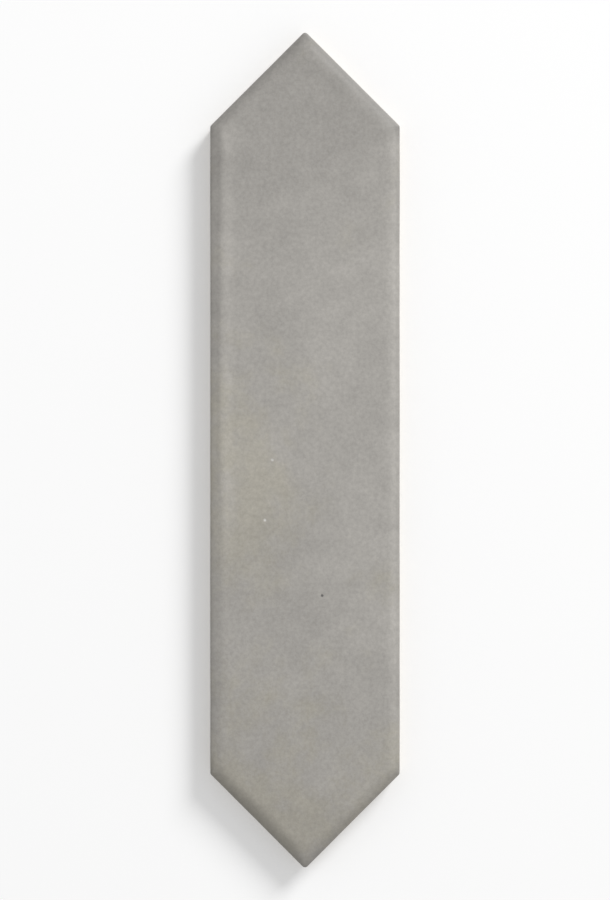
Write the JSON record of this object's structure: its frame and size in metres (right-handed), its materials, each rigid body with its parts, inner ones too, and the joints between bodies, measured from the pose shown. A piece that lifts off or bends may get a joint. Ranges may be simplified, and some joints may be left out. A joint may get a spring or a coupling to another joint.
{
  "type": "picket tile",
  "caption": "Long six-sided picket tile, pointed at both ends, with a satin grey stone-look glaze, softly cushioned face edges and a keyed back.",
  "frame": {"origin": "middle of the back, in the plane of the rim and ribs that the tile lies on", "axes": "+Y along the tile towards one of its two like points, +Z out of the glazed face, +X across the width"},
  "size_m": [0.0636, 0.2794, 0.009],
  "materials": {
    "glaze": "satin"
  },
  "bodies": {
    "root": {"picket_tile": "glaze"}
  },
  "joints": []
}
